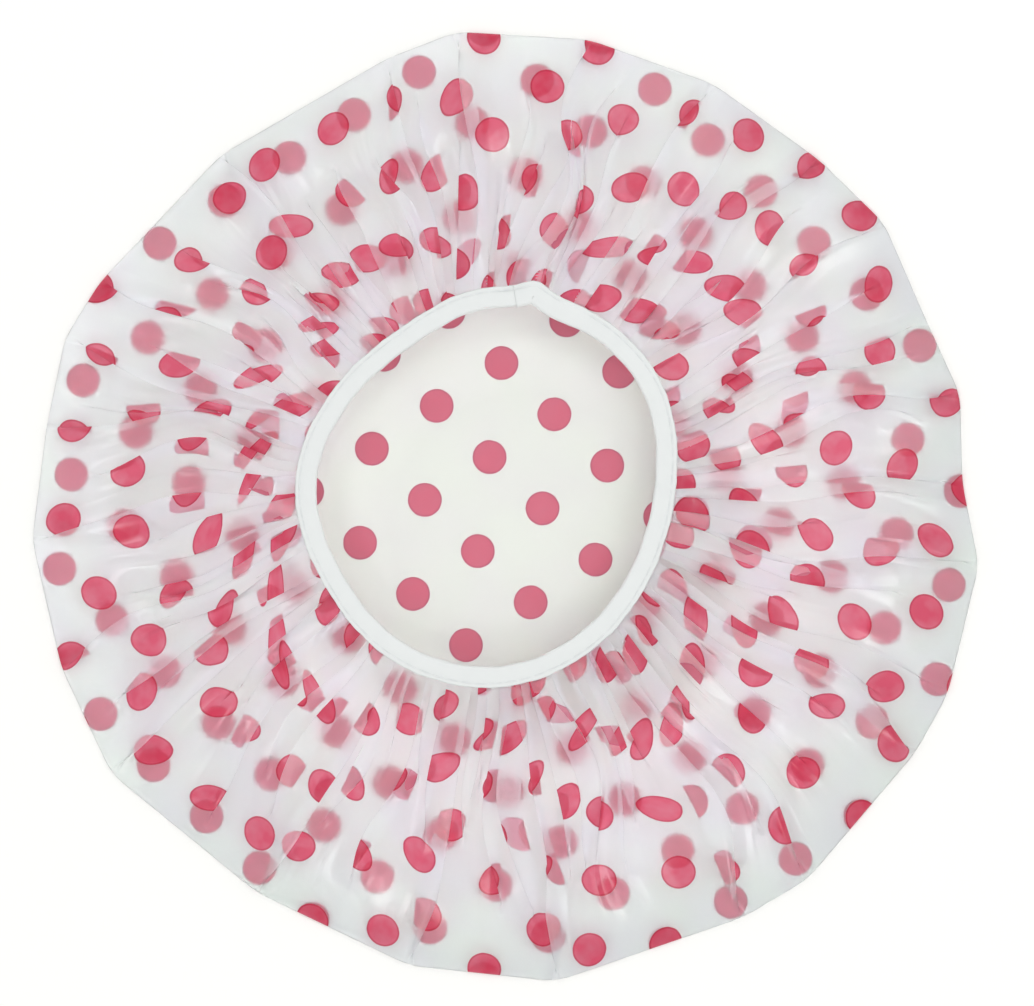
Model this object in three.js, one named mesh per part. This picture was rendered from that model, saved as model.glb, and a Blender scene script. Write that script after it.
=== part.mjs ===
// A gathered shower cap of printed film, lying empty on a flat surface with its opening up.
// One disc of thin film forms the crown and folds over at a many-sided rim. Its raw edge is gathered
// into a folded tape, which also holds a flat elastic. Two sewing threads lock the tape to the film.
// Millimetres, +Z up. The origin is on the surface, under the middle of the cap.
import * as THREE from "three";

// Film
const filmThickness = 0.12;
const outlineRadius = 140; // the folded rim, seen from above
const rimFoldHeight = 2.4; // the film's loop where it turns over at the rim
const rimFoldDepth = 9; // how far in from the rim the film lifts off the surface
const rimFoldSetback = 1.2; // how far in from the rim the loop reaches its full height

// Opening
const mouthRadius = 54; // middle of the tape
const mouthOffsetX = -6;
const mouthOffsetY = 6.4;
const mouthHeight = 14; // middle of the tape above the surface

// Gathers
const mainFoldHeight = 2.6; // half the height of the broad folds that start at the rim's corners
const gatherHeight = 3.2; // half the height of the small gathers beside the tape
const hemRipple = 0.22; // half the height of the gathers where the tape holds them flat
const gatherRun = 5; // how far from the tape the gathers take to open out

// Tape and elastic
const tapeThickness = 0.35;
const elasticWidth = 2.7;
const elasticThickness = 0.9;
const elasticEndGap = 1;
const hemDepth = 2.6; // film held between the tape's two legs
const clearance = 0.3;
const tapeLap = 11; // the end of the tape over its start
const lapRamp = 7; // the length over which the end opens to go over the start
const foldCornerRadius = 0.7;

// Threads
const threadDiameter = 0.34;
const stitchLength = 4;
const stitchInset = 1.3; // from the tape's free edges
const stitchRise = 0.12; // half the height between a stitch's middle and its ends
const stitchDip = 0.15; // how far the thread pulls the tape in

const degree = Math.PI / 180;
const turn = 2 * Math.PI;

// The rim's corners, one main fold each: angle in degrees, and radius as a share of outlineRadius.
const rimCornerShares = [
  [3, 0.963], [14, 0.986], [24, 0.969], [37, 0.997], [48, 0.986], [64, 0.994],
  [80, 1.002], [96, 1.009], [105, 0.98], [129, 0.957], [151, 0.981], [159, 0.998],
  [170, 0.986], [184, 1.004], [200, 0.999], [214, 1.006], [237, 0.969], [258, 0.989],
  [276, 1.006], [300, 0.999], [309, 1.01], [329, 1.006], [337, 1.011], [353, 1.004],
];

// The opening's radius every 30 degrees, as a share of mouthRadius, and the corner at the tape's lap.
const mouthRadiusShares = [
  0.969, 1.041, 1.041, 1.01, 0.907, 0.922, 0.976, 0.967, 1.013, 1.039, 1.007, 0.961,
];
const lapAngle = 76 * degree;
const lapCornerShare = 0.05; // how far the corner stands out, as a share of mouthRadius
const lapCornerSpread = 11 * degree;

// Steps of the surface
const stepsPerFold = 4; // round the rim, between two corners
const gathersPerFold = 2; // beside the tape, for each main fold
const tapeSteps = 84;

// Half the height inside the tape, and what follows from it.
const channelHalfHeight = elasticThickness / 2 + clearance;
const tapeHalfHeight = channelHalfHeight + tapeThickness;
const tapeWidth = tapeThickness + elasticWidth + 2 * clearance + hemDepth;
const freeEdge = tapeWidth / 2; // the tape's free edges, outward of its middle
const foldEdge = -tapeWidth / 2;
const hemEnd = freeEdge - hemDepth; // the film's raw edge
const elasticMiddle = foldEdge + tapeThickness + clearance + elasticWidth / 2;
const stitchLine = freeEdge - stitchInset;

const mod = (value, size) => ((value % size) + size) % size;
const mix = THREE.MathUtils.lerp;
const smoothstep = THREE.MathUtils.smoothstep;

// The plan of the opening

// Radius of the tape's middle about the opening's centre.
function mouthRadiusAt(angle) {
  const place = (mod(angle, turn) / turn) * mouthRadiusShares.length;
  const share = (step) => mouthRadiusShares[mod(Math.floor(place) + step, mouthRadiusShares.length)];
  const t = place - Math.floor(place);
  const smooth =
    share(0) +
    (t / 2) *
      (share(1) - share(-1) +
        t * (2 * share(-1) - 5 * share(0) + 4 * share(1) - share(2) +
          t * (3 * (share(0) - share(1)) + share(2) - share(-1))));
  const fromLap = Math.abs(mod(angle - lapAngle + Math.PI, turn) - Math.PI);
  return mouthRadius * (smooth + lapCornerShare * Math.max(0, 1 - fromLap / lapCornerSpread) ** 2);
}

// A point of the tape's section: outward from the tape's middle, and up from its middle height.
function mouthPoint(angle, outward, up) {
  const at = (a) =>
    new THREE.Vector2(Math.cos(a), Math.sin(a))
      .multiplyScalar(mouthRadiusAt(a))
      .add(new THREE.Vector2(mouthOffsetX, mouthOffsetY));
  const along = at(angle + degree).sub(at(angle - degree)).normalize();
  const place = at(angle).add(new THREE.Vector2(along.y, -along.x).multiplyScalar(outward));
  return new THREE.Vector3(place.x, place.y, mouthHeight + up);
}

const lapTurn = tapeLap / mouthRadiusAt(lapAngle);
const rampTurn = lapRamp / mouthRadiusAt(lapAngle);

// The film's surface

const foldCount = rimCornerShares.length;

// The angle at a phase: phase 0, 1, 2 are the corners, and it runs evenly between them.
function foldAngle(phase) {
  const corner = Math.floor(phase);
  const angle = (step) =>
    rimCornerShares[mod(corner + step, foldCount)][0] + 360 * Math.floor((corner + step) / foldCount);
  return mix(angle(0), angle(1), phase - corner) * degree;
}

// A point of the rim, on the straight fold between two corners.
function rimPoint(phase) {
  const corner = (index) => {
    const [angle, share] = rimCornerShares[mod(index, foldCount)];
    return new THREE.Vector2(Math.cos(angle * degree), Math.sin(angle * degree)).multiplyScalar(
      outlineRadius * share,
    );
  };
  const index = Math.floor(phase);
  return corner(index).lerp(corner(index + 1), phase - index);
}

// The film from its middle to its raw edge. Each stretch has its own measure, from 0 to 1.
const stretches = {
  // Flat on the surface, from the middle to where it lifts.
  base(phase, t) {
    const rim = rimPoint(phase);
    const place = rim.clone().setLength((rim.length() - rimFoldDepth) * t);
    return new THREE.Vector3(place.x, place.y, 0);
  },
  // The loop at the rim: a half turn from the surface to the upper sheet.
  rim(phase, t) {
    const rim = rimPoint(phase);
    const half = Math.PI * (t - 1 / 2);
    const depth = t < 1 / 2 ? rimFoldDepth : rimFoldSetback;
    const inward = depth * (1 - Math.cos(half));
    const height = (rimFoldHeight / 2) * (1 + Math.sin(half));
    const place = rim.clone().setLength(rim.length() - inward);
    return new THREE.Vector3(place.x, place.y, height);
  },
  // The upper sheet, from the rim to the tape's free edges.
  upper(phase, t) {
    const rim = stretches.rim(phase, 1);
    const mouth = mouthPoint(foldAngle(phase), freeEdge, 0);
    const place = rim.clone().lerp(mouth, t);
    const toMouth = rim.distanceTo(mouth) * (1 - t);
    const opened = smoothstep(toMouth, 0, gatherRun);
    const main = mainFoldHeight * Math.sin(Math.PI * t) ** 0.8 * Math.cos(turn * phase);
    const small = gatherHeight * smoothstep(t, 0.4, 0.95) * Math.cos(turn * gathersPerFold * phase);
    const ripple = hemRipple * Math.cos(turn * gathersPerFold * phase);
    place.z = mix(rimFoldHeight, mouthHeight, 1 - (1 - t) ** 2) + mix(ripple, main + small, opened);
    return place;
  },
  // The gathered edge between the tape's legs.
  hem(phase, t) {
    const ripple = hemRipple * Math.cos(turn * gathersPerFold * phase);
    return mouthPoint(foldAngle(phase), mix(freeEdge, hemEnd, t), ripple);
  },
};

// The rows of the surface, from the middle out: the stretch, the place in it, and the steps for each
// main fold. Rows beside the tape have more steps, for the small gathers.
const coarse = stepsPerFold;
const fine = stepsPerFold * gathersPerFold;
const filmRowShares = [
  ["base", 0.5, coarse],
  ["base", 1, coarse],
  ["rim", 0.35, coarse],
  ["rim", 0.6, coarse],
  ["rim", 1, coarse],
  ["upper", 0.18, coarse],
  ["upper", 0.38, coarse],
  ["upper", 0.56, fine],
  ["upper", 0.74, fine],
  ["upper", 0.88, fine],
  ["upper", 0.955, fine],
  ["upper", 1, fine],
  ["hem", 1, fine],
];

// A point of one face of the film: side is 1 for the printed outer face and -1 for the inner one.
function filmPoint([stretch, t], phase, side) {
  const surface = stretches[stretch];
  const nudge = 1e-3;
  const inner = Math.max(t - nudge, 0);
  const outer = Math.min(t + nudge, 1);
  const round = surface(phase + nudge, t).sub(surface(phase - nudge, t));
  const out = surface(phase, outer).sub(surface(phase, inner));
  const normal = round.cross(out).normalize();
  return surface(phase, t).addScaledVector(normal, (side * filmThickness) / 2);
}

// Triangles between two rows round the film. The outer row has as many points, or a multiple of them.
function joinRows(innerStart, innerCount, outerStart, outerCount, flip, triangles) {
  const ratio = outerCount / innerCount;
  const add = (a, b, c) => triangles.push(...(flip ? [a, c, b] : [a, b, c]));
  for (let i = 0; i < innerCount; i++) {
    const here = innerStart + i;
    const next = innerStart + ((i + 1) % innerCount);
    const outerAt = (k) => outerStart + ((i * ratio + k) % outerCount);
    const split = Math.ceil(ratio / 2);
    for (let k = 0; k < split; k++) add(here, outerAt(k), outerAt(k + 1));
    add(here, outerAt(split), next);
    for (let k = split; k < ratio; k++) add(next, outerAt(k), outerAt(k + 1));
  }
}

// The film as one closed skin: its outer face, its inner face, and the raw edge that joins them.
function buildFilm() {
  const points = [];
  const triangles = [];
  const lift = filmThickness / 2; // so that the outer face lies on the surface
  const place = (point) => points.push(point.x, point.y, point.z + lift) / 3 - 1;
  const edges = [1, -1].map((side) => {
    const centre = place(new THREE.Vector3(0, 0, (-side * filmThickness) / 2));
    let previous = null;
    for (const row of filmRowShares) {
      const count = row[2] * foldCount;
      const start = points.length / 3;
      for (let i = 0; i < count; i++) place(filmPoint(row, i / row[2], side));
      if (previous) joinRows(previous.start, previous.count, start, count, side > 0, triangles);
      else {
        for (let i = 0; i < count; i++) {
          const pair = [start + i, start + ((i + 1) % count)];
          triangles.push(centre, ...(side > 0 ? pair.reverse() : pair));
        }
      }
      previous = { start, count };
    }
    return previous;
  });
  joinRows(edges[0].start, edges[0].count, edges[1].start, edges[1].count, true, triangles);
  return meshGeometry(points, triangles);
}

function meshGeometry(points, triangles) {
  const geometry = new THREE.BufferGeometry();
  geometry.setAttribute("position", new THREE.Float32BufferAttribute(points, 3));
  geometry.setIndex(triangles);
  return geometry;
}

// A solid through sections of equal point count, closed into a ring or with a cap at each end. A cap
// is a strip: its outline goes out along one side and comes back along the other.
function loft(sections, closed) {
  const count = sections[0].length;
  const points = sections.flat().flatMap((point) => point.toArray());
  const triangles = [];
  const last = closed ? sections.length : sections.length - 1;
  for (let s = 0; s < last; s++) {
    const here = s * count;
    const next = ((s + 1) % sections.length) * count;
    for (let i = 0; i < count; i++) {
      const j = (i + 1) % count;
      triangles.push(here + i, next + j, here + j, here + i, next + i, next + j);
    }
  }
  const end = (sections.length - 1) * count;
  for (let i = 0; !closed && i < count / 2 - 1; i++) {
    const [a, b, c, d] = [i, i + 1, count - 2 - i, count - 1 - i];
    triangles.push(a, b, c, a, c, d);
    triangles.push(end + a, end + c, end + b, end + a, end + d, end + c);
  }
  return meshGeometry(points, triangles);
}

// The tape's section, as [outward, up]: round the outside from one free edge to the other, then back
// round the inside. grow opens it so that it goes over another layer of tape.
function tapeSection(grow) {
  const legs = [freeEdge, stitchLine, freeEdge - hemDepth];
  const face = (halfHeight, fold, corner) => [
    ...legs.map((out) => [out, halfHeight - (out === stitchLine ? stitchDip : 0)]),
    [fold + corner, halfHeight],
    [fold, halfHeight - corner],
  ];
  const whole = (half) => [...half, ...half.map(([out, up]) => [out, -up]).reverse()];
  const outside = whole(face(tapeHalfHeight + grow, foldEdge - grow, foldCornerRadius));
  const inside = whole(
    face(channelHalfHeight + grow, foldEdge + tapeThickness - grow, foldCornerRadius - tapeThickness),
  );
  return [...outside, ...inside.reverse()];
}

// The tape runs once round and laps over its own start, where its section opens to pass over it.
function buildTape() {
  const start = lapAngle - lapTurn / 2;
  const sweep = turn + lapTurn;
  const opened = turn - rampTurn;
  const overStart = tapeThickness + clearance;
  const sections = [];
  for (let i = 0; i <= tapeSteps; i++) {
    const turned = (i / tapeSteps) * sweep;
    const grow = overStart * smoothstep(turned, opened - rampTurn, opened);
    sections.push(tapeSection(grow).map(([out, up]) => mouthPoint(start + turned, out, up)));
  }
  return loft(sections, false);
}

// The elastic: a flat band inside the fold, whose ends meet under the lap.
function buildElastic() {
  const half = [elasticWidth / 2, elasticThickness / 2];
  const bevel = elasticThickness / 4;
  const outline = [
    [half[0], bevel], [half[0] - bevel, half[1]], [bevel - half[0], half[1]], [-half[0], bevel],
    [-half[0], -bevel], [bevel - half[0], -half[1]], [half[0] - bevel, -half[1]], [half[0], -bevel],
  ];
  const gapTurn = elasticEndGap / mouthRadiusAt(lapAngle);
  const sections = [];
  for (let i = 0; i <= tapeSteps; i++) {
    const angle = lapAngle + gapTurn / 2 + (i / tapeSteps) * (turn - gapTurn);
    sections.push(outline.map(([out, up]) => mouthPoint(angle, elasticMiddle + out, up)));
  }
  return loft(sections, false);
}

// A sewing thread along the stitch line, on the tape's upper face or under its lower one.
function buildThread(side) {
  const length = turn * mouthRadius;
  const stitches = Math.round(length / stitchLength);
  const steps = stitches * 2;
  const radius = threadDiameter / 2;
  const sides = 4;
  const seat = tapeHalfHeight - stitchDip + clearance + radius + stitchRise;
  const overStart = tapeThickness + clearance;
  const sections = [];
  for (let i = 0; i < steps; i++) {
    const angle = lapAngle + lapTurn + (i / steps) * turn;
    const turned = (i / steps) * turn;
    const lap = overStart * smoothstep(turned, turn - 2 * rampTurn - 2 * lapTurn, turn - rampTurn - 2 * lapTurn);
    const leave = i / steps > 1 - 1 / stitches ? 0 : 1;
    const rise = i % 2 ? stitchRise : -stitchRise;
    const ring = [];
    for (let k = 0; k < sides; k++) {
      const around = (turn * (k + 1 / 2)) / sides;
      const up = side * (seat + rise + lap * leave) + radius * Math.sin(around);
      ring.push(mouthPoint(angle, stitchLine + radius * Math.cos(around), up));
    }
    sections.push(ring);
  }
  return loft(sections, true);
}

function addPiece(group, name, geometry, look) {
  const mesh = new THREE.Mesh(geometry, new THREE.MeshStandardMaterial(look));
  mesh.name = name;
  group.add(mesh);
  return mesh;
}

const whiteTape = { color: 0xeef3f3, roughness: 0.55, metalness: 0 };
const cap = new THREE.Group();
const film = addPiece(cap, "crown_film", buildFilm(), {
  color: 0xe9ebea, roughness: 0.3, metalness: 0, transparent: true, opacity: 0.5,
});
addPiece(cap, "binding_tape", buildTape(), whiteTape);
addPiece(cap, "elastic_band", buildElastic(), { color: 0xf4f2ec, roughness: 0.8, metalness: 0 });
addPiece(cap, "needle_thread", buildThread(1), { color: 0xf7f8f7, roughness: 0.6, metalness: 0 });
addPiece(cap, "bobbin_thread", buildThread(-1), { color: 0xf7f8f7, roughness: 0.6, metalness: 0 });

// The rim isn't even, so the whole cap moves until its outline is centred on the origin.
film.geometry.computeBoundingBox();
const middle = film.geometry.boundingBox.getCenter(new THREE.Vector3());
cap.position.set(-middle.x, -middle.y, 0);

export default cap;
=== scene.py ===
"""A shower cap of printed translucent film, lying empty on a pale surface with its opening up.

One disc of film makes the crown. It lies flat, turns over at a many-sided rim and comes back to the
opening in knife pleats: a few broad ones start at the rim's corners, more start on the way, and all of
them are held flat between the two legs of a folded white tape. The tape also holds a flat elastic, and
two sewing threads lock it to the film. Sizes are in metres.
"""

import logging
import math
from dataclasses import dataclass
from enum import Enum
from typing import Any

import bpy
import numpy as np
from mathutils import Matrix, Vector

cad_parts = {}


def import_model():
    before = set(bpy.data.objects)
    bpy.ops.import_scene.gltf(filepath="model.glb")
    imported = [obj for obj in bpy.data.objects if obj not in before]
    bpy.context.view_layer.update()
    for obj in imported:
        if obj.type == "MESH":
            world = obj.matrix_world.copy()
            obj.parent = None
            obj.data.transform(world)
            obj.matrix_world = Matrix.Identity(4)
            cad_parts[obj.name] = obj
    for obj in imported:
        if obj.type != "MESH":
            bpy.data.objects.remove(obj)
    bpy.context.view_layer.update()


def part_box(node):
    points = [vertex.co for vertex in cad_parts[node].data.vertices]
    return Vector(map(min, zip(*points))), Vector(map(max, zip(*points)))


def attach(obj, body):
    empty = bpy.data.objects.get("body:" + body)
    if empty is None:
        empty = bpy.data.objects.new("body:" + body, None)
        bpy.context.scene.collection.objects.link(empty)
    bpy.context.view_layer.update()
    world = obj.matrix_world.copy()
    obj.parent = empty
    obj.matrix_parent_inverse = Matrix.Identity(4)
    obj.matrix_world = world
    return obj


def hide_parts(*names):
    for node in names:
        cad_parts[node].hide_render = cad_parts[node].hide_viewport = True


log = logging.getLogger("shower_cap")

MM = 0.001
TURN = 2 * math.pi
# The range of the fine grain's heights that a textile's roughness follows
GRAIN_HEIGHTS = (0.4, 1.1)

Array = np.ndarray
Color = tuple[float, float, float, float]


class Stitch(Enum):
    """The side of the tape that a sewing thread lies on."""

    UPPER = 1
    LOWER = -1


def smooth(value: Array | float, low: float, high: float) -> Array:
    """Rises from 0 at low to 1 at high, level at both ends.

    Args:
        value: Where to read the curve.
        low: Where it leaves 0.
        high: Where it reaches 1.

    Returns:
        The curve's height at each value.
    """
    share = np.clip((np.asarray(value) - low) / (high - low), 0, 1)
    return share * share * (3 - 2 * share)


def arc_steps(points: Array) -> Array:
    """Length from each point of a closed ring of points to the next."""
    return np.linalg.norm(np.roll(points, -1, axis=0) - points, axis=1)


def from_zero(steps: Array) -> Array:
    """Running total of steps, with a zero in front."""
    return np.concatenate([[0.0], np.cumsum(steps)])


def on_circle(angle: Array) -> Array:
    """Unit vectors in plan at these angles."""
    return np.stack([np.cos(angle), np.sin(angle)], axis=-1)


def angle_between(first: Array, second: Array | float) -> Array:
    """Angles between two sets of directions in plan, up to half a turn."""
    return np.abs((first - second + math.pi) % TURN - math.pi)


@dataclass
class CapPlan:
    """The cap's rim and opening in plan, about the middle of its film disc."""

    # The rim's corners: each one's bearing in degrees, and its distance as a share of the radius
    outline_radius: float = 140 * MM
    corner_shares: tuple[tuple[float, float], ...] = (
        (3, 0.963), (14, 0.986), (24, 0.969), (37, 0.997), (48, 0.986), (64, 0.994),
        (80, 1.002), (96, 1.009), (105, 0.98), (129, 0.957), (151, 0.981), (159, 0.998),
        (170, 0.986), (184, 1.004), (200, 0.999), (214, 1.006), (237, 0.969), (258, 0.989),
        (276, 1.006), (300, 0.999), (309, 1.01), (329, 1.006), (337, 1.011), (353, 1.004),
    )
    # The tape's middle, with its radius at even bearings as shares of the whole
    mouth_radius: float = 54 * MM
    mouth_centre: tuple[float, float] = (-6 * MM, 6.4 * MM)
    mouth_shares: tuple[float, ...] = (
        0.969, 1.041, 1.041, 1.01, 0.907, 0.922, 0.976, 0.967, 1.013, 1.039, 1.007, 0.961,
    )
    # The slight corner at the tape's lap
    lap_angle: float = math.radians(76)
    lap_share: float = 0.05
    lap_spread: float = math.radians(11)
    # Rounding of the rim's corners, and the step that gives the tape's direction
    corner_rounding: float = math.radians(1.6)
    rounding_shares: tuple[float, ...] = (-1, -0.6, -0.2, 0.2, 0.6, 1)
    tangent_step: float = math.radians(0.5)

    def __post_init__(self) -> None:
        """Places the rim's corners and reads the tape's height from the frame."""
        table = np.array(self.corner_shares)
        corners = on_circle(np.radians(table[:, 0])) * (table[:, 1:] * self.outline_radius)
        self.centre = np.array(self.mouth_centre)
        self.corners = corners - self.centre
        self.corner_angles = np.unwrap(np.arctan2(self.corners[:, 1], self.corners[:, 0]))
        self.shift = -(corners.min(axis=0) + corners.max(axis=0)) / 2
        low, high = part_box("binding_tape")
        self.mouth_height = (low[2] + high[2]) / 2

    def rim_point(self, angle: Array) -> Array:
        """Points of the rim, its corners rounded off.

        Args:
            angle: Angles about the opening's centre.

        Returns:
            One plan point for each angle.
        """
        steps = self.corner_rounding * np.array(self.rounding_shares)
        return self.centre + on_circle(angle) * np.mean(
            [np.linalg.norm(self.fold_point(angle + step), axis=-1) for step in steps], axis=0
        )[..., None]

    def fold_point(self, angle: Array) -> Array:
        """Points of the rim's straight folds, where rays from the opening's centre meet them.

        Args:
            angle: Angles about the opening's centre.

        Returns:
            One plan point for each angle, as seen from the opening's centre.
        """
        start = self.corner_angles[0]
        turned = (angle - start) % TURN + start
        index = np.searchsorted(self.corner_angles, turned, side="right") - 1
        here = self.corners[index]
        there = self.corners[(index + 1) % len(self.corners)]
        ray, along = on_circle(angle), there - here
        across = here[..., 0] * there[..., 1] - here[..., 1] * there[..., 0]
        reach = across / (ray[..., 0] * along[..., 1] - ray[..., 1] * along[..., 0])
        return ray * reach[..., None]

    def mouth_radius_at(self, angle: Array) -> Array:
        """Radius of the tape's middle, a smooth curve through the shares with a corner at the lap.

        Args:
            angle: Angles about the opening's centre.

        Returns:
            One radius for each angle.
        """
        count = len(self.mouth_shares)
        place = (angle % TURN) / TURN * count
        index = np.floor(place).astype(int)
        t = place - index
        before, at, after, beyond = (
            np.array(self.mouth_shares)[(index + step) % count] for step in (-1, 0, 1, 2)
        )
        bend = 2 * before - 5 * at + 4 * after - beyond + t * (3 * (at - after) + beyond - before)
        from_lap = angle_between(angle, self.lap_angle)
        corner = self.lap_share * np.maximum(0, 1 - from_lap / self.lap_spread) ** 2
        return self.mouth_radius * (at + t / 2 * (after - before + t * bend) + corner)

    def mouth_point(self, angle: Array, outward: Array | float) -> Array:
        """Plan points beside the tape's middle.

        Args:
            angle: Angles about the opening's centre.
            outward: Distance from the tape's middle, away from the opening.

        Returns:
            One plan point for each angle.
        """

        def middle(at: Array) -> Array:
            """Plan points of the tape's middle at these angles."""
            return on_circle(at) * self.mouth_radius_at(at)[..., None] + self.mouth_centre

        along = middle(angle + self.tangent_step) - middle(angle - self.tangent_step)
        along /= np.linalg.norm(along, axis=-1, keepdims=True)
        away = np.stack([along[..., 1], -along[..., 0]], axis=-1)
        return middle(angle) + away * np.asarray(outward)[..., None]


class ShaderGraph:
    """Adds nodes to a material or a node group in few words."""

    def __init__(self, tree: bpy.types.NodeTree) -> None:
        """Starts on an emptied tree."""
        self.tree = tree
        self.tree.nodes.clear()

    def node(self, kind: str, settings: dict[str, Any] | None = None, **sockets: Any) -> Any:
        """Adds a node.

        Args:
            kind: The node's type without the word ShaderNode in front, or with ! for the word Node.
            settings: Attributes of the node.
            **sockets: Input sockets by name, with _ for a space, or by place, as in i0. Each gets a
                value, or a socket to link from.

        Returns:
            The node.
        """
        node = self.tree.nodes.new("ShaderNode" + kind if kind[0] != "!" else "Node" + kind[1:])
        for name, value in (settings or {}).items():
            setattr(node, name, value)
        for name, value in sockets.items():
            index = int(name[1:]) if name[0] == "i" and name[1:].isdigit() else name.replace("_", " ")
            self.feed(node.inputs[index], value)
        return node

    def feed(self, socket: Any, value: Any) -> None:
        """Sets a socket to a value, or links one to it.

        Args:
            socket: The input socket.
            value: A value, or the socket to link from.
        """
        if isinstance(value, bpy.types.NodeSocket):
            self.tree.links.new(value, socket)
        else:
            socket.default_value = value

    def math(self, operation: str, first: Any, second: Any = 0.0) -> Any:
        """One step of arithmetic; returns its socket."""
        return self.node("Math", {"operation": operation}, i0=first, i1=second).outputs[0]

    def vector(self, operation: str, first: Any, **sockets: Any) -> Any:
        """One step of vector arithmetic.

        Args:
            operation: The step, as the node calls it.
            first: The first vector.
            **sockets: The other sockets, given as for any node.

        Returns:
            The socket of the result: a number for a length or a dot product, else a vector.
        """
        node = self.node("VectorMath", {"operation": operation}, i0=first, **sockets)
        return node.outputs["Value" if operation in ("LENGTH", "DOT_PRODUCT") else "Vector"]

    def mix(self, share: Any, first: Any, second: Any) -> Any:
        """A blend of two colours by share; returns its socket."""
        return self.node("Mix", {"data_type": "RGBA"}, i0=share, i6=first, i7=second).outputs[2]

    def between(self, value: Any, low: float, high: float, to_low: float, to_high: float) -> Any:
        """Maps a range of values onto another, and stays at its ends outside the range.

        Args:
            value: The value to map.
            low: One end of its range.
            high: The other end.
            to_low: What low becomes.
            to_high: What high becomes.

        Returns:
            The mapped value's socket.
        """
        node = self.node("MapRange", Value=value, From_Min=low, From_Max=high)
        node.inputs["To Min"].default_value = to_low
        node.inputs["To Max"].default_value = to_high
        return node.outputs[0]

    def group(self, tree: bpy.types.NodeTree, **sockets: Any) -> Any:
        """Places a node group.

        Args:
            tree: The group.
            **sockets: Its inputs by name, each with a value, or a socket to link from.

        Returns:
            The group's output sockets.
        """
        node = self.tree.nodes.new("ShaderNodeGroup")
        node.node_tree = tree
        for name, value in sockets.items():
            self.feed(node.inputs[name.replace("_", " ")], value)
        return node.outputs


def new_group(name: str, inputs: dict[str, str], outputs: dict[str, str]) -> bpy.types.NodeTree:
    """Makes an empty shader node group.

    Args:
        name: The group's name.
        inputs: Input names, each with its socket type.
        outputs: Output names, each with its socket type.

    Returns:
        The group's tree.
    """
    tree = bpy.data.node_groups.new(name, "ShaderNodeTree")
    for side, sockets in (("INPUT", inputs), ("OUTPUT", outputs)):
        for socket, kind in sockets.items():
            tree.interface.new_socket(name=socket, in_out=side, socket_type="NodeSocket" + kind)
    return tree


def fine_grain_group() -> bpy.types.NodeTree:
    """Fine unevenness of a surface, shared by film, tape, elastic and threads.

    Returns:
        A group that takes a place and a size of grain and puts out a height and a slow variation.
    """
    tree = new_group(
        "Fine grain",
        {"Place": "Vector", "Grain": "Float", "Stretch": "Float"},
        {"Height": "Float", "Variation": "Float"},
    )
    fine_detail, broad_detail, fine_share = 3.0, 2.0, 0.5
    graph = ShaderGraph(tree)
    source = graph.node("!GroupInput").outputs
    place = source["Place"]
    scale = graph.math("DIVIDE", 1.0, source["Grain"])
    fine = graph.node("TexNoise", Vector=place, Scale=scale, Detail=fine_detail).outputs[0]
    broad_scale = graph.math("DIVIDE", scale, source["Stretch"])
    broad = graph.node("TexNoise", Vector=place, Scale=broad_scale, Detail=broad_detail)
    height = graph.math("ADD", graph.math("MULTIPLY", fine, fine_share), broad.outputs[0])
    graph.node("!GroupOutput", Height=height, Variation=broad.outputs[0])
    return tree


def yarn_group() -> bpy.types.NodeTree:
    """Yarns side by side along a band, each crossed by short floats, shared by every textile.

    Returns:
        A group that takes a place along and across the band, in metres, and puts out a height and
        a mask of the hollows between yarns, where the textiles paint shade.
    """
    tree = new_group(
        "Yarns",
        {"Place": "Vector", "Along": "Float", "Across": "Float", "Skew": "Float"},
        {"Height": "Float", "Hollow": "Float"},
    )
    row_offset, yarn_roundness, float_roundness, float_share = 0.4, 0.5, 0.35, 0.45
    hollow_below, crown_above = 0.15, 0.6
    graph = ShaderGraph(tree)
    source = graph.node("!GroupInput").outputs
    place = graph.node("SeparateXYZ", Vector=source["Place"]).outputs
    skewed = graph.math("ADD", place[1], graph.math("MULTIPLY", place[0], source["Skew"]))
    yarn = graph.math("DIVIDE", skewed, source["Across"])
    row = graph.math("MULTIPLY", graph.math("FLOOR", yarn), row_offset)
    float_place = graph.math("ADD", graph.math("DIVIDE", place[0], source["Along"]), row)

    def arch(value: Any) -> Any:
        """A row of round arches, one for each whole number."""
        return graph.math("ABSOLUTE", graph.math("SINE", graph.math("MULTIPLY", value, math.pi)))

    crown = graph.math("POWER", arch(yarn), yarn_roundness)
    over = graph.math("MULTIPLY", graph.math("POWER", arch(float_place), float_roundness), float_share)
    height = graph.math("MULTIPLY", crown, graph.math("ADD", over, 1 - float_share))
    hollow = graph.between(height, hollow_below, crown_above, 1.0, 0.0)
    graph.node("!GroupOutput", Height=height, Hollow=hollow)
    return tree


def new_material(name: str) -> tuple[bpy.types.Material, ShaderGraph]:
    """Makes a material with an empty node tree.

    Args:
        name: The material's name.

    Returns:
        The material, and a graph to fill it.
    """
    material = bpy.data.materials.new(name)
    material.use_nodes = True
    return material, ShaderGraph(material.node_tree)


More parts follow.
